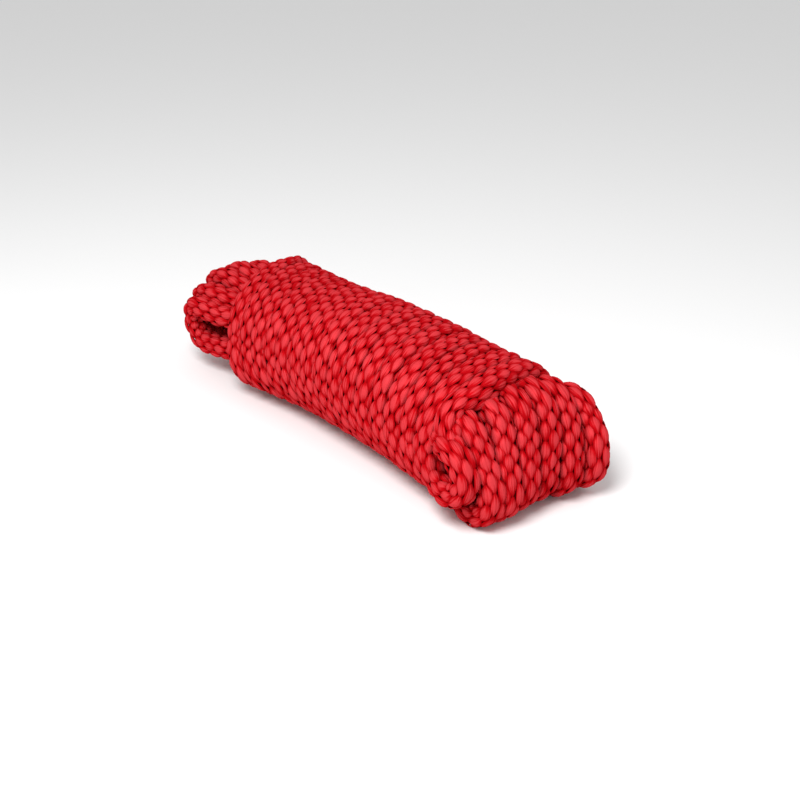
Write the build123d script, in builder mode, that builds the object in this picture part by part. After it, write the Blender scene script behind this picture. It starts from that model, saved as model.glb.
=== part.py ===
from build123d import *
import math
import os

# A dock line put up as a hank. The line is laid back and forth in flat loops, and the rest of it is
# wound round their middle. Millimetres. +X runs along the hank to the end where the winding stops,
# +Z is up, and the origin is on the floor under the middle of the whole hank.

# Driving dimensions
rope_d = 9.5
wrap_turns = 16
wrap_width = 61.8
wrap_height = 50.4
wrap_side_flat = 6.4
far_reach = 39.4
near_reach = 26.2
bight_width = 71.0
bight_height = 46.4
far_bight_width = 62.0
far_bight_height = 40.4
far_bight_lift = 8.0
seal_length = 3.0
seal_collar = 0.3

# The winding lies turn against turn, one rope wide, round the loops' lengthwise runs.
wrap_length = wrap_turns * rope_d
total_length = far_reach + wrap_length + near_reach
wrap_far_x = far_reach - total_length / 2
wrap_near_x = wrap_far_x + wrap_length
wrap_mid_z = wrap_height / 2
wrap_corner = (wrap_height - wrap_side_flat) / 2
core_width = wrap_width - 2 * rope_d
core_height = wrap_height - 2 * rope_d
core_corner = wrap_corner - rope_d
core_top_z = wrap_mid_z + core_height / 2
core_bottom_z = wrap_mid_z - core_height / 2


def tube_radii(points):
    """One bend radius for each inner point: 0.45 of the shorter run over the tangent of half the turn."""
    radii = []
    for before, corner, after in zip(points, points[1:], points[2:]):
        run_in = Vector(*corner) - Vector(*before)
        run_out = Vector(*after) - Vector(*corner)
        half_turn = math.radians(run_in.get_angle(run_out)) / 2
        radii.append(0.45 * min(run_in.length, run_out.length) / math.tan(half_turn))
    return radii


def report_tube(name, tube, path, radii):
    """Print a tube's bends, and its volume against its section times its length."""
    expected = math.pi * rope_d**2 / 4 * path.length
    print(name, "radii", [round(r, 1) for r in radii], "tightest", round(min(radii) / rope_d, 2), "rope diameters")
    print(name, "length", round(path.length, 1), "volume over section x length", round(tube.volume / expected, 4))


# Wrap: the closed outer shape of the sixteen turns, rounded at both ends like the rope in it.
with BuildPart() as wrap_coil:
    with BuildSketch(Plane.YZ.offset(wrap_far_x)):
        with Locations((0, wrap_mid_z)):
            RectangleRounded(wrap_width, wrap_height, wrap_corner)
    extrude(amount=wrap_length)
    outer_rims = wrap_coil.edges().filter_by(lambda e: e.bounding_box().size.X < 1e-6)
    fillet(outer_rims, radius=0.45 * rope_d)
    with BuildSketch(Plane.YZ.offset(wrap_far_x)):
        with Locations((0, wrap_mid_z)):
            RectangleRounded(core_width, core_height, core_corner)
    extrude(amount=wrap_length, mode=Mode.SUBTRACT)
wrap_coil.part.label = "wrap_coil"

# Lengthwise runs: the bundle of straight runs that the wrap is wound round.
with BuildPart() as core_runs:
    with BuildSketch(Plane.YZ.offset(wrap_far_x)):
        with Locations((0, wrap_mid_z)):
            RectangleRounded(core_width, core_height, core_corner)
    extrude(amount=wrap_length)
core_runs.part.label = "core_runs"

# Near bights: the loops' returns past the last turn. They leave the wrap as narrow as its inside, fan out
# to lie side by side, and go over and under an eye that is open from front to back.
near_shoulder = 0.9 * rope_d
near_tip_x = wrap_near_x + near_reach
near_round = 0.38 * bight_height
eye_reach = near_reach - rope_d

with BuildPart() as near_bights:
    with BuildSketch(Plane.XZ) as near_side:
        with BuildLine():
            Polyline(
                (wrap_near_x, core_bottom_z),
                (wrap_near_x + near_shoulder, 0),
                (near_tip_x, 0),
                (near_tip_x, bight_height),
                (wrap_near_x + near_shoulder, bight_height),
                (wrap_near_x, core_top_z),
                close=True,
            )
        make_face()
        fillet(near_side.vertices().group_by(Axis.X)[-1], radius=near_round)
    extrude(amount=bight_width / 2, both=True)
    with BuildSketch(Plane.XY) as near_plan:
        with BuildLine():
            Polyline(
                (wrap_near_x, -core_width / 2),
                (wrap_near_x + 1.1 * rope_d, -core_width / 2 - 0.1 * rope_d),
                (wrap_near_x + 1.5 * rope_d, -bight_width / 2),
                (near_tip_x, -bight_width / 2),
                (near_tip_x, bight_width / 2),
                (wrap_near_x + 1.5 * rope_d, bight_width / 2),
                (wrap_near_x + 1.1 * rope_d, core_width / 2 + 0.1 * rope_d),
                (wrap_near_x, core_width / 2),
                close=True,
            )
        make_face()
        fillet(near_plan.vertices().group_by(Axis.X)[-1], radius=1.15 * rope_d)
    extrude(amount=bight_height, mode=Mode.INTERSECT)
    with BuildSketch(Plane.XZ) as near_eye:
        with BuildLine():
            Polyline(
                (wrap_near_x, rope_d),
                (wrap_near_x + eye_reach, rope_d),
                (wrap_near_x + eye_reach, bight_height - rope_d),
                (wrap_near_x, bight_height - rope_d),
                close=True,
            )
        make_face()
        fillet(near_eye.vertices().group_by(Axis.X)[-1], radius=0.8 * rope_d)
    extrude(amount=bight_width / 2, both=True, mode=Mode.SUBTRACT)
near_bights.part.label = "near_bights"

# Far bights: the same loops' longer returns at the other end, lifted off the floor, round a larger eye.
far_shoulder = 1.3 * rope_d
far_tip_x = wrap_far_x - far_reach
far_top_z = far_bight_lift + far_bight_height
far_round = 0.42 * far_bight_height
far_eye_reach = far_reach - rope_d

with BuildPart() as far_bights:
    with BuildSketch(Plane.XZ) as far_side:
        with BuildLine():
            Polyline(
                (wrap_far_x, core_bottom_z),
                (wrap_far_x - far_shoulder, far_bight_lift),
                (far_tip_x, far_bight_lift),
                (far_tip_x, far_top_z),
                (wrap_far_x - far_shoulder, far_top_z),
                (wrap_far_x, core_top_z),
                close=True,
            )
        make_face()
        fillet(far_side.vertices().group_by(Axis.X)[0], radius=far_round)
    extrude(amount=far_bight_width / 2, both=True)
    with BuildSketch(Plane.XY) as far_plan:
        with BuildLine():
            Polyline(
                (wrap_far_x, -core_width / 2),
                (wrap_far_x - far_shoulder, -far_bight_width / 2),
                (far_tip_x, -far_bight_width / 2),
                (far_tip_x, far_bight_width / 2),
                (wrap_far_x - far_shoulder, far_bight_width / 2),
                (wrap_far_x, core_width / 2),
                close=True,
            )
        make_face()
        fillet(far_plan.vertices().group_by(Axis.X)[0], radius=1.6 * rope_d)
    extrude(amount=far_top_z, mode=Mode.INTERSECT)
    with BuildSketch(Plane.XZ) as far_eye:
        with BuildLine():
            Polyline(
                (wrap_far_x, far_bight_lift + rope_d),
                (wrap_far_x - far_eye_reach, far_bight_lift + rope_d),
                (wrap_far_x - far_eye_reach, far_top_z - rope_d),
                (wrap_far_x, far_top_z - rope_d),
                close=True,
            )
        make_face()
        fillet(far_eye.vertices().group_by(Axis.X)[0], radius=0.9 * rope_d)
    extrude(amount=far_bight_width / 2, both=True, mode=Mode.SUBTRACT)
far_bights.part.label = "far_bights"

# Start tail: the line's first end, which lies in the bundle and shows in the eye of the far bights.
start_tail_points = [
    (wrap_far_x, -12.0, wrap_mid_z + 2.5),
    (wrap_far_x - 8.0, -12.0, wrap_mid_z + 2.5),
    (wrap_far_x - 16.0, -14.5, wrap_mid_z + 0.5),
    (wrap_far_x - 22.0, -19.0, wrap_mid_z - 0.5),
]
start_radii = tube_radii(start_tail_points)
with BuildLine() as start_path:
    FilletPolyline(*start_tail_points, radius=start_radii)
start_centre = start_path.wire()
with BuildPart() as start_tail:
    with BuildSketch(Plane(origin=start_centre @ 0, z_dir=start_centre % 0)):
        Circle(rope_d / 2)
    sweep(path=start_centre)
report_tube("start_tail", start_tail.part, start_centre, start_radii)
start_tail.part.label = "start_tail"

# Finishing tail: the line's last end. It comes off the last turn at the front, turns in between the wrap and
# the front bight, and goes through the eye of the near bights to the back. The first point is one rope
# inside the wrap, where the tube is cut off flush with the wrap's end.
wrap_rope_y = wrap_width / 2 - rope_d / 2
finishing_tail_points = [
    (wrap_near_x - 6.0, -wrap_rope_y, wrap_mid_z + 14.0),
    (wrap_near_x + 3.5, -wrap_rope_y - 0.5, wrap_mid_z + 1.0),
    (wrap_near_x + 7.5, -wrap_rope_y + 8.0, wrap_mid_z - 4.0),
    (wrap_near_x + 8.0, -4.0, wrap_mid_z - 4.5),
    (wrap_near_x + 7.5, 14.0, wrap_mid_z - 3.0),
    (wrap_near_x + 8.5, 31.0, wrap_mid_z - 4.5),
]
finishing_radii = tube_radii(finishing_tail_points)
with BuildLine() as finishing_path:
    FilletPolyline(*finishing_tail_points, radius=finishing_radii)
finishing_centre = finishing_path.wire()
with BuildPart() as finishing_tail:
    with BuildSketch(Plane(origin=finishing_centre @ 0, z_dir=finishing_centre % 0)):
        Circle(rope_d / 2)
    sweep(path=finishing_centre)
    report_tube("finishing_tail", finishing_tail.part, finishing_centre, finishing_radii)
    split(bisect_by=Plane.YZ.offset(wrap_near_x), keep=Keep.TOP)
finishing_tail.part.label = "finishing_tail"


def sealed_end(path):
    """A melted end: a short collar as wide as the swollen rope, with a rounded tip."""
    with BuildPart() as seal:
        with BuildSketch(Plane(origin=path @ 1, z_dir=path % 1)):
            Circle(rope_d / 2 + seal_collar)
        extrude(amount=seal_length)
        ends = seal.faces().filter_by(GeomType.PLANE)
        tip = ends.sort_by(lambda f: (f.center() - path @ 1).length)[-1]
        fillet(tip.edges(), radius=0.6 * seal_length)
    return seal.part


start_seal = sealed_end(start_centre)
start_seal.label = "start_seal"
finish_seal = sealed_end(finishing_centre)
finish_seal.label = "finish_seal"

os.makedirs("parts", exist_ok=True)
export_step(wrap_coil.part, "parts/wrap_coil.step")
export_step(core_runs.part, "parts/core_runs.step")
export_step(near_bights.part, "parts/near_bights.step")
export_step(far_bights.part, "parts/far_bights.step")
export_step(start_tail.part, "parts/start_tail.step")
export_step(finishing_tail.part, "parts/finishing_tail.step")
export_step(start_seal, "parts/start_seal.step")
export_step(finish_seal, "parts/finish_seal.step")
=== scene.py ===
# %% [markdown]
# # A coiled dock line
# This lesson builds a mooring line that has been put up as a hank. The line is laid back and forth in
# flat loops, and the rest of it is wound tightly round their middle. Everything visible is one rope: a
# soft heart with a solid braid round it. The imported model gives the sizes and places, so it is loaded
# first and never changed.

import math

import bmesh
import bpy
import numpy as np
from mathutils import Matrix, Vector


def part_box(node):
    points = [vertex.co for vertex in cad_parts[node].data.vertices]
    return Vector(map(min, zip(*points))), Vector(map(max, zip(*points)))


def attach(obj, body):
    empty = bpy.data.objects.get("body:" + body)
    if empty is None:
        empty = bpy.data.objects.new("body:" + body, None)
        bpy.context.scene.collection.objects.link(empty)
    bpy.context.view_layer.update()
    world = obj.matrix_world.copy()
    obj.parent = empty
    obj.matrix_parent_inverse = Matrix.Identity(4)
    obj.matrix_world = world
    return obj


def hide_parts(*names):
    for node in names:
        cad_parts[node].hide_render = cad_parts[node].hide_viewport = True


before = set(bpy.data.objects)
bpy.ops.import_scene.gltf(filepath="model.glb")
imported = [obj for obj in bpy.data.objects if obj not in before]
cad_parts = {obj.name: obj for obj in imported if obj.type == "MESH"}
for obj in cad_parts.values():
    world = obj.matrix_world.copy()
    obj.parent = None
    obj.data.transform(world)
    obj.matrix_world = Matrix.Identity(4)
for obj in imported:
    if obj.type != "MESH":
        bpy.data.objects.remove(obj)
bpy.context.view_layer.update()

MM = 0.001
print("packed nodes", sorted(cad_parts))

# %% [markdown]
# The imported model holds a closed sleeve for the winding. Its box says where the winding lies, and it is
# sixteen rope diameters long, so a sixteenth of its length is the rope's diameter. The rest of the script
# works in millimetres and turns into metres at the last moment.

# %% Sizes from the frame
WRAP_DIAMETERS = 16
wrap_low, wrap_high = (np.array(corner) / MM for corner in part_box("wrap_coil"))
wrap_far_x, wrap_near_x = wrap_low[0], wrap_high[0]
rope_d = (wrap_near_x - wrap_far_x) / WRAP_DIAMETERS
wrap_rope_y = (wrap_high[1] - wrap_low[1]) / 2 - rope_d / 2
wrap_rope_z = (wrap_high[2] - wrap_low[2]) / 2 - rope_d / 2
wrap_mid_z = (wrap_high[2] + wrap_low[2]) / 2
print("rope diameter", round(rope_d, 3), "mm, winding from", round(wrap_far_x, 2), "to", round(wrap_near_x, 2))

# %% [markdown]
# The camera stands to the right of the near end and looks down on it, with a fairly long lens, so that
# the hank shrinks only a little towards its far end. It is made before the rope, so that every later step
# can be looked at.

# %% Camera
CAMERA_AZIMUTH = 52.75
CAMERA_ELEVATION = 24.07
CAMERA_DISTANCE = 518.64
CAMERA_LENS = 58.545
CAMERA_SHIFT = (0.0059, -0.0276)


def make_camera():
    azimuth, elevation = math.radians(CAMERA_AZIMUTH), math.radians(CAMERA_ELEVATION)
    back = Vector((math.sin(azimuth) * math.cos(elevation), -math.cos(azimuth) * math.cos(elevation),
                   math.sin(elevation)))
    middle_x = (wrap_far_x + wrap_near_x) / 2
    target = Vector((middle_x + 7.83, 0, wrap_mid_z)) * MM
    data = bpy.data.cameras.new("view_camera")
    data.lens = CAMERA_LENS
    data.shift_x, data.shift_y = CAMERA_SHIFT
    data.clip_start, data.clip_end = 0.01, 10
    camera = bpy.data.objects.new("view_camera", data)
    camera.rotation_mode = "QUATERNION"
    camera.rotation_quaternion = (-back).to_track_quat("-Z", "Y")
    camera.location = target + back * CAMERA_DISTANCE * MM
    bpy.context.scene.collection.objects.link(camera)
    bpy.context.scene.camera = camera
    return camera


camera = make_camera()
print("camera at", [round(c, 3) for c in camera.location])

# %% [markdown]
# The route starts at one end of the line. Seven flat loops run the length of the hank, so there are
# fourteen runs inside the winding, packed in two layers above and two below the middle. Past the near end
# of the winding the loops fan out, because nothing squeezes them there, and each bight lies a little
# differently from the next. Each turns over at a shoulder, comes down in a slight bulge, and turns back
# under at its toe. The folds are drawn for a bend of about the rope's own width, and the tightest come
# out at two thirds of it, which is tighter than real line. The runs are also closer together than the
# rope is thick, so the line passes through itself out of sight.

# %% Lengthwise runs and near bights
LOOPS = 7
RUN_SPACING = 5.33
RUN_HEIGHTS = (3.9, 10.7)

# For each near bight, front to back: its place across the hank, the heights of its top and bottom, how
# far past the winding its shoulder turns over and its toe reaches, and how much it bulges between them.
NEAR_BIGHTS = [
    (-29.5, 31.0, 14.0, 0.5, 10.0, 0.0),
    (-20.5, 37.5, 4.75, -4.5, 14.0, 0.0),
    (-11.0, 39.5, 4.75, -4.5, 14.5, 0.0),
    (-1.5, 41.0, 4.75, -3.5, 13.0, 0.5),
    (8.5, 41.0, 4.75, -3.0, 12.0, 2.0),
    (18.5, 38.5, 5.0, -3.5, 14.5, 1.5),
    (28.5, 33.5, 6.5, -1.0, 17.5, 2.0),
]
FOLD_RADIUS = rope_d
HAIRPIN_HEIGHT = 25
PUSH_OUT = 1.06


def run_place(loop, upper):
    """Place across the hank and height of one lengthwise run inside the winding."""
    height = RUN_HEIGHTS[loop % 2]
    return (loop - (LOOPS - 1) / 2) * RUN_SPACING, wrap_mid_z + (height if upper else -height)


def arc_points(centre_x, centre_z, reach, height, angles):
    """Control points of an open ellipse, pushed out a little because the smooth line cuts inside them."""
    turns = [math.radians(angle) for angle in angles]
    return [(centre_x + PUSH_OUT * reach * math.cos(turn), centre_z + PUSH_OUT * height * math.sin(turn))
            for turn in turns]


def near_bight(loop):
    """Out along the upper run, over the shoulder, down to the toe, and back into the lower run."""
    across, top, bottom, shoulder, toe, bulge = NEAR_BIGHTS[loop]
    y_in, z_up = run_place(loop, True)
    z_low = run_place(loop, False)[1]
    x = wrap_near_x
    radius = min(FOLD_RADIUS, (top - bottom) / 2)
    hairpin = top - bottom < HAIRPIN_HEIGHT
    lean = 2.0 if loop > 1 else 0.0
    over = arc_points(x + shoulder, top - radius, radius, radius, (120, 90, 60, 30))
    under = arc_points(x + toe - radius, bottom + radius, radius, radius,
                       (0, -30, -60, -90) if hairpin else (20, -10, -40, -70, -100))
    points = [
        (x - 34, y_in, z_up),
        (x - 25, y_in, z_up),
        (x - 17, 0.6 * y_in + 0.4 * across, z_up + 0.35 * (top - z_up)),
    ]
    points += [(px, across * share + y_in * (1 - share) + lean, pz)
               for share, (px, pz) in zip((0.8, 0.97, 1, 1), over)]
    if not hairpin:
        points.append(((over[-1][0] + under[0][0]) / 2 + bulge, across, (over[-1][1] + under[0][1]) / 2))
    points += [(px, across - lean, pz) for px, pz in under]
    points += [
        (x - 7, 0.85 * across + 0.15 * y_in, max(bottom + 0.8, min(bottom + 4.2, wrap_mid_z - 11.5))),
        (x - 15, 0.45 * across + 0.55 * y_in, 0.4 * z_low + 0.6 * (wrap_mid_z - 12)),
        (x - 25, y_in, z_low),
        (x - 34, y_in, z_low),
    ]
    return points


print("first near bight starts at", [round(v, 1) for v in near_bight(0)[0]])

# %% [markdown]
# At the far end the bights are longer and looser. Each one joins a lower run to the next loop's upper
# run, so there is one fewer of them, and together they leave an open eye with the line's first end in it.

# %% Far bights
# For each far bight, front to back: its place across the hank, how far it reaches past the winding, and
# the heights of its top and bottom.
FAR_BIGHTS = [
    (-27.5, 28.5, 30.5, 13.5),
    (-19.5, 33.5, 35.5, 12.0),
    (-10.5, 36.5, 40.0, 11.0),
    (-1.5, 37.0, 41.0, 11.5),
    (8.0, 35.5, 40.0, 12.5),
    (17.5, 31.0, 37.5, 14.0),
]


def far_bight(loop):
    """Out along a lower run, round the far bight, and into the next loop's upper run."""
    across, reach, top, bottom = FAR_BIGHTS[loop]
    y_low, z_low = run_place(loop, False)
    y_up, z_up = run_place(loop + 1, True)
    bend = 8.5 if loop == 0 else 17.0
    lean = 1.0 if loop == 0 else 4.0
    x = wrap_far_x
    points = [
        (x + 30, y_low, z_low),
        (x + 17, y_low, z_low),
        (x + 8, 0.75 * y_low + 0.25 * across, max(z_low, wrap_mid_z - 11.2)),
        (x - 1, 0.4 * y_low + 0.6 * across + 0.5 * lean, max(bottom + 0.5, wrap_mid_z - 11.2)),
    ]
    middle = (top + bottom) / 2
    angles = (-90, -60, -30, 0, 30, 60, 90)
    for angle, (px, pz) in zip(angles, arc_points(0, middle, bend, (top - bottom) / 2, angles)):
        points.append((x - reach + bend - px, across - lean * math.sin(math.radians(angle)), pz))
    points += [
        (x - 3, 0.25 * y_up + 0.75 * across - 0.5 * lean, min(top - 2, wrap_mid_z + 9.5)),
        (x + 7, 0.75 * y_up + 0.25 * across, min(z_up, wrap_mid_z + 9)),
        (x + 17, y_up, z_up),
        (x + 30, y_up, z_up),
    ]
    return points


print("first far bight starts at", [round(v, 1) for v in far_bight(0)[0]])

# %% [markdown]
# The winding is a close helix on a rounded box, a little over fifteen full turns, so a line drawn along
# the hank crosses fifteen or sixteen strands on the seen sides. It starts at the back of the far end,
# goes up and over, and works towards the near end. It is pulled in a little at its waist and swells
# towards both ends, where the bundle inside it spreads. The first turns sag at their lower front edge,
# and the turns lean more and more towards the near end, as they do when a line is led round at a slant
# and pulled up.

# %% The winding
WINDING_TURNS = 15.35
TURNS_TO_NEAR_END = WINDING_TURNS + 0.115
POINTS_PER_TURN = 24
SECTION_POWER = 2.45
SWELL_SHARES = (0, 0.12, 0.24, 0.36, 0.48, 0.60, 0.72, 0.84, 1)
SWELL_UP = (-1.0, -1.2, -1.2, 0.2, 2.2, 2.4, 2.2, 1.0, 1.0)
SWELL_OUT = (1.0, 1.0, 0.8, 0.5, 0.5, 0.5, 0.5, 0.8, 1.2)
SAG = (0.48, 0.29, 0.09, 0, 0, 0, 0.02, 0.12, 0.18)
SLANT_SHARES = (0, 0.1, 0.5, 1)
SLANT_ACROSS = (0.46, 0.36, 0.19, 0.10)
SLANT_ABOVE = (-0.10, 0.0, 0.05, -0.15)
SLANT_BELOW = (0.38, 0.44, 0.42, 0.25)


def winding_point(turn):
    """The rope's middle line after this many turns from the back of the far end."""
    angle = 2 * math.pi * turn
    share = turn / TURNS_TO_NEAR_END
    x = wrap_far_x + rope_d / 2 + (wrap_near_x - wrap_far_x - rope_d) * share
    half_y = wrap_rope_y + np.interp(share, SWELL_SHARES, SWELL_OUT)
    half_z = wrap_rope_z + np.interp(share, SWELL_SHARES, SWELL_UP) / 2
    c, s = math.cos(angle), math.sin(angle)
    scale = (abs(c / half_y) ** SECTION_POWER + abs(s / half_z) ** SECTION_POWER) ** (-1 / SECTION_POWER)
    y, z = scale * c, scale * s
    if y < 0 and z < 0:
        y *= 1 - np.interp(share, SWELL_SHARES, SAG) * z / half_z
    slant = SLANT_ABOVE if z > 0 else SLANT_BELOW
    lag = np.interp(share, SLANT_SHARES, SLANT_ACROSS) * (y + half_y)
    lag += np.interp(share, SLANT_SHARES, slant) * z
    return x - lag, y, rope_d / 2 + half_z + z


def winding():
    count = int(WINDING_TURNS * POINTS_PER_TURN)
    return [winding_point(k / POINTS_PER_TURN) for k in range(1, count + 1)]


print("winding has", len(winding()), "control points")

# %% [markdown]
# The two ends of the line are given point by point, as they lie on the imported model. The first end shows
# in the far eye. The last one comes off the final turn at the front, dives in behind the front bight, and
# goes through the near eye to the back.

# %% Both ends, and the whole route
START_TAIL = [
    (wrap_far_x - 22.0, -19.0, wrap_mid_z - 0.5),
    (wrap_far_x - 16.0, -14.5, wrap_mid_z + 0.5),
    (wrap_far_x - 8.0, -12.0, wrap_mid_z + 2.5),
    (wrap_far_x, -12.0, wrap_mid_z + 2.5),
]
FINISHING_TAIL = [
    (wrap_near_x - 6.0, -wrap_rope_y, wrap_mid_z + 14.0),
    (wrap_near_x + 3.5, -wrap_rope_y - 0.5, wrap_mid_z + 1.0),
    (wrap_near_x + 7.5, -wrap_rope_y + 8.0, wrap_mid_z - 4.0),
    (wrap_near_x + 8.0, -4.0, wrap_mid_z - 4.5),
    (wrap_near_x + 7.5, 14.0, wrap_mid_z - 3.0),
    (wrap_near_x + 8.5, 31.0, wrap_mid_z - 4.5),
]


def whole_route():
    points = list(START_TAIL)
    points.append((wrap_far_x + 14, *run_place(0, True)))
    for loop in range(LOOPS):
        points += near_bight(loop)
        if loop < LOOPS - 1:
            points += far_bight(loop)
    y_last, z_last = run_place(LOOPS - 1, False)
    points += [
        (wrap_far_x + 30, y_last, z_last),
        (wrap_far_x + 14, y_last, z_last),
        (wrap_far_x + 3, y_last + 1, z_last - 1),
        (wrap_far_x - 8, y_last + 5, z_last - 1.7),
        (wrap_far_x - 14, y_last + 8, z_last - 0.5),
        (wrap_far_x - 17.8, wrap_rope_y - 0.5, z_last + 3.2),
    ]
    return points + winding() + FINISHING_TAIL


route = whole_route()
print("route has", len(route), "control points")

# %% [markdown]
# A NURBS curve of order three follows the control points smoothly. Its round bevel is the heart of the
# rope, which the braid will lie on, so it is thinner than the rope and only shows in the gaps between
# stitches. Inside the winding, where the rope can't be seen, it stays bare.

# %% The heart of the rope
HEART_SHARE = 0.385
SAMPLE_STEP = 0.5


def make_heart(points):
    data = bpy.data.curves.new("line_heart", "CURVE")
    data.dimensions = "3D"
    spline = data.splines.new("NURBS")
    spline.points.add(len(points) - 1)
    for control, place in zip(spline.points, points):
        control.co = (*(Vector(place) * MM), 1)
    spline.order_u = 3
    spline.use_endpoint_u = True
    spline.resolution_u = 4
    data.bevel_depth = HEART_SHARE * rope_d * MM
    data.bevel_resolution = 2
    data.use_fill_caps = True
    heart = bpy.data.objects.new("line_heart", data)
    bpy.context.scene.collection.objects.link(heart)
    return heart


def read_centreline(heart, resolution=10):
    """Points of the smooth route in millimetres, one every half millimetre."""
    bare = heart.copy()
    bare.data = heart.data.copy()
    bare.data.bevel_depth = 0
    bare.data.use_fill_caps = False
    bare.data.splines[0].resolution_u = resolution
    mesh = bpy.data.meshes.new_from_object(bare)
    places = np.array([vertex.co[:] for vertex in mesh.vertices]) / MM
    bpy.data.meshes.remove(mesh)
    bpy.data.objects.remove(bare)
    steps = np.linalg.norm(np.diff(places, axis=0), axis=1)
    along = np.concatenate([[0], np.cumsum(steps)])
    even = np.arange(0, along[-1], SAMPLE_STEP)
    return even, np.stack([np.interp(even, along, places[:, axis]) for axis in range(3)], axis=1)


heart = make_heart(route)
along, centreline = read_centreline(heart)
line_length = along[-1]
print("line length", round(line_length, 1), "mm")

# %% [markdown]
# Stitches need to know which way is outwards at every point of the rope. A frame of two directions is
# carried along the line without twisting, so that the braid doesn't spin round where the rope bends.

# %% Directions along the rope
def carried_frame(points):
    tangents = np.gradient(points, axis=0)
    tangents /= np.linalg.norm(tangents, axis=1, keepdims=True)
    first = np.empty_like(points)
    side = np.cross(tangents[0], (0, 0, 1))
    for index, tangent in enumerate(tangents):
        side = side - tangent * (side @ tangent)
        side /= np.linalg.norm(side)
        first[index] = side
    return tangents, first, np.cross(tangents, first)


tangents, side_one, side_two = carried_frame(centreline)
print("frame carried over", len(centreline), "points")

# %% [markdown]
# Turns that are pulled tight flatten against each other, so the rope's section there is a rounded square,
# not a circle. Across the hank's length that happens in the winding, and across its width in the fanned
# bights.

# %% How the rope is pressed by its neighbours
winding_start = int(np.argmin(np.linalg.norm(centreline - np.array(winding_point(0.25)), axis=1)))
winding_end = int(np.argmin(np.linalg.norm(centreline - np.array(FINISHING_TAIL[0]), axis=1)))
in_winding = np.zeros(len(centreline), bool)
in_winding[winding_start:winding_end] = True
neighbour_axis = np.where(in_winding[:, None], (1.0, 0.0, 0.0), (0.0, 1.0, 0.0))
neighbour_axis = neighbour_axis - tangents * np.sum(neighbour_axis * tangents, axis=1, keepdims=True)
neighbour_axis /= np.maximum(np.linalg.norm(neighbour_axis, axis=1, keepdims=True), 1e-6)
print("winding runs from", along[winding_start], "to", along[winding_end], "mm")

# %% [markdown]
# A solid braid shows as rows of short plump stitches that run along the rope, like grains in an ear of
# corn. Eight rows go round it, and each row is half a stitch behind its neighbour, as bricks are, which
# leaves a small gap beyond each stitch's end, where the heart shows, dark with painted shade. One stitch
# is modelled once, as a small domed leaf, and then laid again and again.

# %% One stitch
ROWS = 8
STITCH_PITCH = 0.70 * rope_d
STITCH_LENGTH = 1.46 * STITCH_PITCH
STITCH_WIDTH = 1.30 * math.pi * rope_d / ROWS
STITCH_RISE = 0.145 * rope_d
STITCH_ACROSS, STITCH_ALONG = 6, 8


def make_stitch_pattern():
    """A grid over across -1..1 and along 0..1, to be shaped on the rope."""
    pattern = bmesh.new()
    bmesh.ops.create_grid(pattern, x_segments=STITCH_ACROSS, y_segments=STITCH_ALONG, size=1)
    pattern.verts.index_update()
    places = np.array([vertex.co[:] for vertex in pattern.verts])
    faces = [[vertex.index for vertex in face.verts] for face in pattern.faces]
    pattern.free()
    return places[:, 0], places[:, 1] / 2 + 0.5, np.array(faces)


stitch_across, stitch_along, stitch_faces = make_stitch_pattern()
stitch_plump = 1 - np.abs(2 * stitch_along ** 0.85 - 1) ** 1.6
# The crown mask is painted light: it is high along the middle of the crown, where the yarn gets a painted
# highlight, and low at the stitch's ends and edges, where it gets painted shade.
stitch_crown_highlight = stitch_plump ** 0.9 * (1 - 0.5 * np.abs(stitch_across) ** 2.0)
print("one stitch has", len(stitch_faces), "faces")


def shape_stitch(width, rise, lean):
    """The flat pattern as a leaf: place sideways, distance from the rope's middle, share along it."""
    t = stitch_along
    sideways = stitch_across * width / 2 * (0.04 + 0.96 * stitch_plump) + lean * (t - 0.5)
    edge = 0.42 * np.abs(stitch_across) ** 2.4
    dive = 1.5 * (1 - stitch_plump) ** 1.5
    height = rope_d / 2 - rise * (edge + dive)
    return sideways, height, t


# %% [markdown]
# The stitches are laid by following the rope. Each one gets a small change of length, width, rise and
# tint from a seeded generator, as twisted yarn never pulls up evenly. The side of a turn that is pressed
# on the bundle can't be seen, so its stitches are left out.

# %% Laying the braid
SQUARENESS = 3.6


def rope_point(place_along, angle, radius):
    """A point on the rope: millimetres along it, angle round it and distance from its middle line."""
    index = np.clip(place_along / SAMPLE_STEP, 0, len(centreline) - 1.001)
    low = index.astype(int)
    share = (index - low)[:, None]

    def between(values):
        return values[low] * (1 - share) + values[low + 1] * share

    out = between(side_one) * np.cos(angle)[:, None] + between(side_two) * np.sin(angle)[:, None]
    beside = np.abs(np.sum(out * between(neighbour_axis), axis=1))
    other = np.sqrt(np.clip(1 - beside ** 2, 0, 1))
    square = (beside ** SQUARENESS + other ** SQUARENESS) ** (-1 / SQUARENESS)
    return between(centreline) + out * (radius * square)[:, None]


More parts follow.
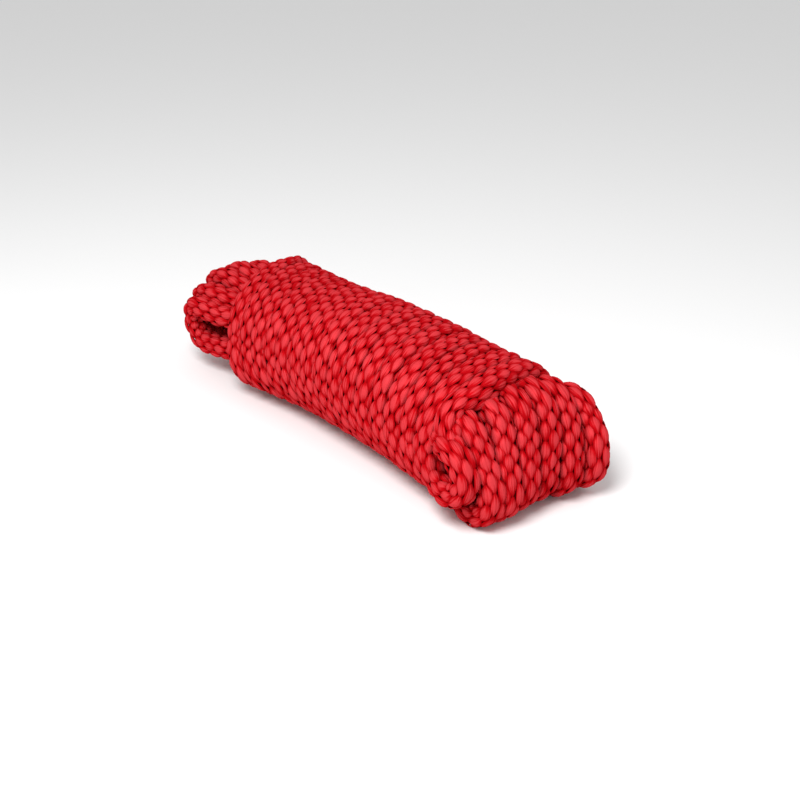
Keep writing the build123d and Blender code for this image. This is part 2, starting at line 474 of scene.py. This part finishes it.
def braid(name, start, end, seed, hidden_side=None):
    """One mesh with the stitches of the rope between two places along it."""
    chance = np.random.default_rng(seed)
    places, tints, across, lengthwise, crown_highlights = [], [], [], [], []
    first = int(start / STITCH_PITCH) - 1
    last = int(end / STITCH_PITCH) + 2
    for number in range(first, last):
        for row in range(ROWS):
            jitter = chance.normal(size=6)
            begin = (number - row % 2 / 2) * STITCH_PITCH + 0.03 * STITCH_PITCH * jitter[0]
            middle = begin + STITCH_LENGTH / 2
            if not start <= middle < end:
                continue
            angle = 2 * math.pi * row / ROWS + 0.02 * jitter[1]
            if hidden_side is not None and hidden_side(middle, angle):
                continue
            width = STITCH_WIDTH * (1 + 0.05 * jitter[2])
            rise = STITCH_RISE * (1 + 0.08 * jitter[3])
            sideways, height, share = shape_stitch(width, rise, 0.35 + 0.12 * jitter[4])
            on_rope = begin + share * STITCH_LENGTH
            on_rope = np.clip(on_rope, 0, line_length - 1)
            places.append(rope_point(on_rope, angle + sideways / (rope_d / 2), height))
            tints.append(np.full(len(share), jitter[5]))
            across.append(stitch_across)
            lengthwise.append(share)
            crown_highlights.append(stitch_crown_highlight)
    stitches = len(places)
    vertices = np.concatenate(places) * MM
    offsets = np.arange(stitches)[:, None, None] * len(stitch_across)
    faces = (stitch_faces[None] + offsets).reshape(-1, 4)
    mesh = bpy.data.meshes.new(name)
    mesh.from_pydata(vertices.tolist(), [], faces.tolist())
    mesh.polygons.foreach_set("use_smooth", np.ones(len(faces), bool))
    tint = mesh.attributes.new("tint", "FLOAT", "POINT")
    tint.data.foreach_set("value", np.concatenate(tints).astype(np.float32))
    # This attribute carries each stitch's painted highlight and painted shade.
    crown_highlight = mesh.attributes.new("crown_highlight", "FLOAT", "POINT")
    crown_highlight.data.foreach_set("value", np.concatenate(crown_highlights).astype(np.float32))
    layer = mesh.uv_layers.new(name="stitch")
    corner_vertices = faces.ravel()
    flat_across = np.concatenate(across)[corner_vertices]
    flat_along = np.concatenate(lengthwise)[corner_vertices]
    flat = np.stack([flat_across, flat_along], axis=1)
    layer.data.foreach_set("uv", flat.astype(np.float32).ravel())
    piece = bpy.data.objects.new(name, mesh)
    bpy.context.scene.collection.objects.link(piece)
    print(name, stitches, "stitches,", 2 * len(faces), "triangles")
    return piece


def faces_bundle(place_along, angle):
    """True for a stitch on the side of a turn that lies on the bundle, away from the winding's two ends."""
    index = int(place_along / SAMPLE_STEP)
    x = centreline[index, 0]
    if x < wrap_far_x + 2.2 * rope_d or x > wrap_near_x - 2.4 * rope_d:
        return False
    out = side_one[index] * math.cos(angle) + side_two[index] * math.sin(angle)
    inward = np.array((0.0, -centreline[index, 1], wrap_mid_z - centreline[index, 2]))
    return out @ inward / np.linalg.norm(inward) > 0.6


def visible_bights():
    """Stretches of the rope outside the winding's two ends, before the winding starts."""
    x = centreline[:winding_start, 0]
    outside_near = x > wrap_near_x - 0.8 * rope_d
    outside_far = x < wrap_far_x + 0.8 * rope_d
    stretches = {"near_bight_braid": [], "far_bight_braid": []}
    for name, flags in (("near_bight_braid", outside_near), ("far_bight_braid", outside_far)):
        edges = np.flatnonzero(np.diff(np.concatenate([[0], flags.astype(int), [0]])))
        stretches[name] = [(along[a], along[min(b, winding_start - 1)])
                           for a, b in zip(edges[::2], edges[1::2])]
    return stretches


# %% [markdown]
# The braid is kept in a few pieces, one for each end's bights, three for the winding and one for the last
# end, so that none is too heavy.

# %% The braid on each stretch
def joined(pieces, name):
    """Several meshes of stitches made one."""
    for other in pieces[1:]:
        other.select_set(True)
    pieces[0].select_set(True)
    bpy.context.view_layer.objects.active = pieces[0]
    with bpy.context.temp_override(active_object=pieces[0], selected_editable_objects=pieces,
                                   selected_objects=pieces):
        bpy.ops.object.join()
    pieces[0].name = name
    pieces[0].data.name = name
    return pieces[0]


braids = []
for name, stretches in visible_bights().items():
    parts = [braid(f"{name}_{number}", begin, end, 11 + number)
             for number, (begin, end) in enumerate(stretches)]
    braids.append(joined(parts, name))
cuts = np.linspace(along[winding_start], along[winding_end], 4)
for number, name in enumerate(("winding_braid_far", "winding_braid_middle", "winding_braid_near")):
    braids.append(braid(name, cuts[number], cuts[number + 1], 41 + number, faces_bundle))
braids.append(braid("last_end_braid", along[winding_end], line_length - 2, 44))
print("braid pieces", [piece.name for piece in braids])

# %% [markdown]
# The yarn is bright red polypropylene filament. It is satin, not matt, and fine filaments run along each
# stitch. Its colour is painted lighter and pinker along the stitch's crown, which is a painted highlight,
# and deeper towards its ends and edges, where it dives under its neighbours, which is painted shade. The
# streaks follow the stitch's own map, so they turn with the rope.

# %% Yarn
# The lightest yarn colour is a painted highlight on the crowns. The deepest is painted shade at the stitches'
# ends and edges, and it also shows in the darker filament streaks.
YARN_PAINTED_HIGHLIGHT = (0.56, 0.036, 0.044, 1)
YARN_RED = (0.40, 0.003, 0.006, 1)
YARN_PAINTED_SHADE_AND_STREAK = (0.27, 0.0004, 0.0012, 1)
# The heart's two reds are painted shade: the heart is coloured much darker than the yarn to stand for the
# shade in the gaps between stitches, with a fine speckle between the two reds.
HEART_SHADE_RED = (0.21, 0.0003, 0.0010, 1)
HEART_SHADE_DEEP = (0.11, 0.0001, 0.0004, 1)


def shader_of(material):
    material.use_nodes = True
    return material.node_tree, material.node_tree.nodes["Principled BSDF"]


def yarn_material():
    material = bpy.data.materials.new("satin_red_yarn")
    tree, shader = shader_of(material)
    nodes, links = tree.nodes, tree.links
    shader.inputs["Roughness"].default_value = 0.42
    shader.inputs["Metallic"].default_value = 0.12
    shader.inputs["Specular IOR Level"].default_value = 0.0
    shader.inputs["Specular Tint"].default_value = (1, 0.08, 0.12, 1)
    stitch_map = nodes.new("ShaderNodeUVMap")
    stitch_map.uv_map = "stitch"
    tint = nodes.new("ShaderNodeAttribute")
    tint.attribute_name = "tint"
    stretch = nodes.new("ShaderNodeMapping")
    stretch.inputs["Scale"].default_value = (2.6, 0.5, 1)
    links.new(stitch_map.outputs["UV"], stretch.inputs["Vector"])
    filaments = nodes.new("ShaderNodeTexNoise")
    filaments.noise_dimensions = "4D"
    filaments.inputs["Scale"].default_value = 1.5
    filaments.inputs["Detail"].default_value = 3
    filaments.inputs["Roughness"].default_value = 0.65
    links.new(stretch.outputs["Vector"], filaments.inputs["Vector"])
    links.new(tint.outputs["Fac"], filaments.inputs["W"])
    crown_highlight = nodes.new("ShaderNodeAttribute")
    crown_highlight.attribute_name = "crown_highlight"
    shade = nodes.new("ShaderNodeMath")
    shade.operation = "MULTIPLY_ADD"
    shade.inputs[1].default_value = 0.95
    links.new(filaments.outputs["Fac"], shade.inputs[0])
    faint_tint = nodes.new("ShaderNodeMath")
    faint_tint.operation = "MULTIPLY"
    faint_tint.inputs[1].default_value = 0.025
    links.new(tint.outputs["Fac"], faint_tint.inputs[0])
    links.new(faint_tint.outputs["Value"], shade.inputs[2])
    # Painted light: the crown mask lifts the colour to a painted highlight along the crown and leaves painted
    # shade at the ends, and the filament streaks are added on top.
    highlight_and_streaks = nodes.new("ShaderNodeMath")
    highlight_and_streaks.operation = "MULTIPLY_ADD"
    highlight_and_streaks.inputs[1].default_value = 0.60
    links.new(crown_highlight.outputs["Fac"], highlight_and_streaks.inputs[0])
    links.new(shade.outputs["Value"], highlight_and_streaks.inputs[2])
    colour = nodes.new("ShaderNodeValToRGB")
    colour.color_ramp.elements[0].position = 0.50
    colour.color_ramp.elements[0].color = YARN_PAINTED_SHADE_AND_STREAK
    colour.color_ramp.elements[1].position = 0.86
    colour.color_ramp.elements[1].color = YARN_RED
    colour.color_ramp.elements.new(1.0).color = YARN_PAINTED_HIGHLIGHT
    links.new(highlight_and_streaks.outputs["Value"], colour.inputs["Fac"])
    links.new(colour.outputs["Color"], shader.inputs["Base Color"])
    bump = nodes.new("ShaderNodeBump")
    bump.inputs["Strength"].default_value = 0.8
    bump.inputs["Distance"].default_value = 0.0006
    links.new(filaments.outputs["Fac"], bump.inputs["Height"])
    links.new(bump.outputs["Normal"], shader.inputs["Normal"])
    return material


def heart_material():
    material = bpy.data.materials.new("shaded_red_heart")
    tree, shader = shader_of(material)
    shader.inputs["Roughness"].default_value = 0.9
    shader.inputs["Specular IOR Level"].default_value = 0.03
    # The heart's colour is painted shade for the gaps between stitches, speckled finely between two dark reds.
    place = tree.nodes.new("ShaderNodeTexCoord")
    speckle = tree.nodes.new("ShaderNodeTexNoise")
    speckle.inputs["Scale"].default_value = 900
    colour = tree.nodes.new("ShaderNodeValToRGB")
    colour.color_ramp.elements[0].color = HEART_SHADE_DEEP
    colour.color_ramp.elements[1].color = HEART_SHADE_RED
    tree.links.new(place.outputs["Object"], speckle.inputs["Vector"])
    tree.links.new(speckle.outputs["Fac"], colour.inputs["Fac"])
    tree.links.new(colour.outputs["Color"], shader.inputs["Base Color"])
    return material


yarn = yarn_material()
for piece in braids:
    piece.data.materials.append(yarn)
heart.data.materials.append(heart_material())
print("yarn and heart are coloured")

# %% [markdown]
# Both ends of such a line are melted so that the braid can't run. The melted cap is a smooth, slightly
# swollen button, a little uneven, and darker and smoother than the yarn.

# %% Melted ends
def melted_end(name, tip, direction):
    """A squashed ball on the rope's end, a little uneven, with a few soft dents."""
    cap = bmesh.new()
    bmesh.ops.create_uvsphere(cap, u_segments=32, v_segments=16, radius=1)
    for vertex in cap.verts:
        flat = Vector((vertex.co.x, vertex.co.y, 0))
        wobble = 1 + 0.04 * math.sin(3 * math.atan2(vertex.co.y, vertex.co.x) + tip[0])
        vertex.co.x *= wobble
        vertex.co.y *= wobble
        vertex.co.z *= 1 + 0.12 * math.sin(4 * flat.x) * math.cos(3 * flat.y)
    bmesh.ops.scale(cap, vec=(0.505 * rope_d, 0.505 * rope_d, 0.26 * rope_d), verts=cap.verts)
    turn = Vector(direction).to_track_quat("Z", "Y").to_matrix()
    bmesh.ops.rotate(cap, matrix=turn, verts=cap.verts)
    bmesh.ops.translate(cap, vec=Vector(tip), verts=cap.verts)
    bmesh.ops.scale(cap, vec=(MM, MM, MM), verts=cap.verts)
    bmesh.ops.recalc_face_normals(cap, faces=cap.faces)
    mesh = bpy.data.meshes.new(name)
    cap.to_mesh(mesh)
    cap.free()
    mesh.polygons.foreach_set("use_smooth", [True] * len(mesh.polygons))
    piece = bpy.data.objects.new(name, mesh)
    bpy.context.scene.collection.objects.link(piece)
    return piece


def melted_material():
    material = bpy.data.materials.new("melted_red_end")
    tree, shader = shader_of(material)
    shader.inputs["Roughness"].default_value = 0.45
    shader.inputs["Specular IOR Level"].default_value = 0.12
    place = tree.nodes.new("ShaderNodeTexCoord")
    cloud = tree.nodes.new("ShaderNodeTexNoise")
    cloud.inputs["Scale"].default_value = 420
    colour = tree.nodes.new("ShaderNodeValToRGB")
    colour.color_ramp.elements[0].color = (0.16, 0.003, 0.005, 1)
    colour.color_ramp.elements[1].color = (0.34, 0.004, 0.007, 1)
    bump = tree.nodes.new("ShaderNodeBump")
    bump.inputs["Strength"].default_value = 0.3
    bump.inputs["Distance"].default_value = 0.0004
    tree.links.new(place.outputs["Object"], cloud.inputs["Vector"])
    tree.links.new(cloud.outputs["Fac"], colour.inputs["Fac"])
    tree.links.new(colour.outputs["Color"], shader.inputs["Base Color"])
    tree.links.new(cloud.outputs["Fac"], bump.inputs["Height"])
    tree.links.new(bump.outputs["Normal"], shader.inputs["Normal"])
    return material


first_cap = melted_end("first_melted_end", centreline[0], -tangents[0])
last_cap = melted_end("last_melted_end", centreline[-1], tangents[-1])
melted = melted_material()
first_cap.data.materials.append(melted)
last_cap.data.materials.append(melted)
print("melted ends at", centreline[0].round(1), centreline[-1].round(1))

# %% [markdown]
# The hank lies on a plain pale floor in soft studio light. A bright, even world fills the shadows, and
# one large key light stands above the hank and in front of it, a little towards the near end, so the
# lower flank is in soft shade.

# %% Floor and light
def make_floor():
    floor = bmesh.new()
    bmesh.ops.create_grid(floor, x_segments=1, y_segments=1, size=3)
    mesh = bpy.data.meshes.new("studio_floor")
    floor.to_mesh(mesh)
    floor.free()
    piece = bpy.data.objects.new("studio_floor", mesh)
    bpy.context.scene.collection.objects.link(piece)
    material = bpy.data.materials.new("pale_floor")
    shader = shader_of(material)[1]
    shader.inputs["Base Color"].default_value = (0.84, 0.84, 0.84, 1)
    shader.inputs["Roughness"].default_value = 0.9
    shader.inputs["Specular IOR Level"].default_value = 0.1
    mesh.materials.append(material)
    return piece


def area_light(name, place, target, size, power):
    data = bpy.data.lights.new(name, "AREA")
    data.shape = "DISK"
    data.size = size
    data.energy = power
    light = bpy.data.objects.new(name, data)
    light.location = place
    light.rotation_mode = "QUATERNION"
    light.rotation_quaternion = (Vector(target) - Vector(place)).to_track_quat("-Z", "Y")
    bpy.context.scene.collection.objects.link(light)


floor = make_floor()
world = bpy.data.worlds.new("studio_world")
bpy.context.scene.world = world
world.use_nodes = True
world.node_tree.nodes["Background"].inputs["Color"].default_value = (1, 1, 1, 1)
world.node_tree.nodes["Background"].inputs["Strength"].default_value = 0.72
area_light("key_light", (0.24, -0.34, 0.52), (0.02, 0, 0.02), 0.3, 4.3)
bpy.context.scene.view_settings.view_transform = "Standard"
print("floor and lights are in place")

# %% [markdown]
# Last, every piece is hung on the root body, and the imported solids are hidden.

# %% Root body and hidden solids
braided_pieces = braids + [first_cap, last_cap]
for piece in [heart] + braided_pieces:
    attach(piece, "root")
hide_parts("wrap_coil", "core_runs", "near_bights", "far_bights", "start_tail", "finishing_tail")
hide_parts("start_seal")
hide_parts("finish_seal")
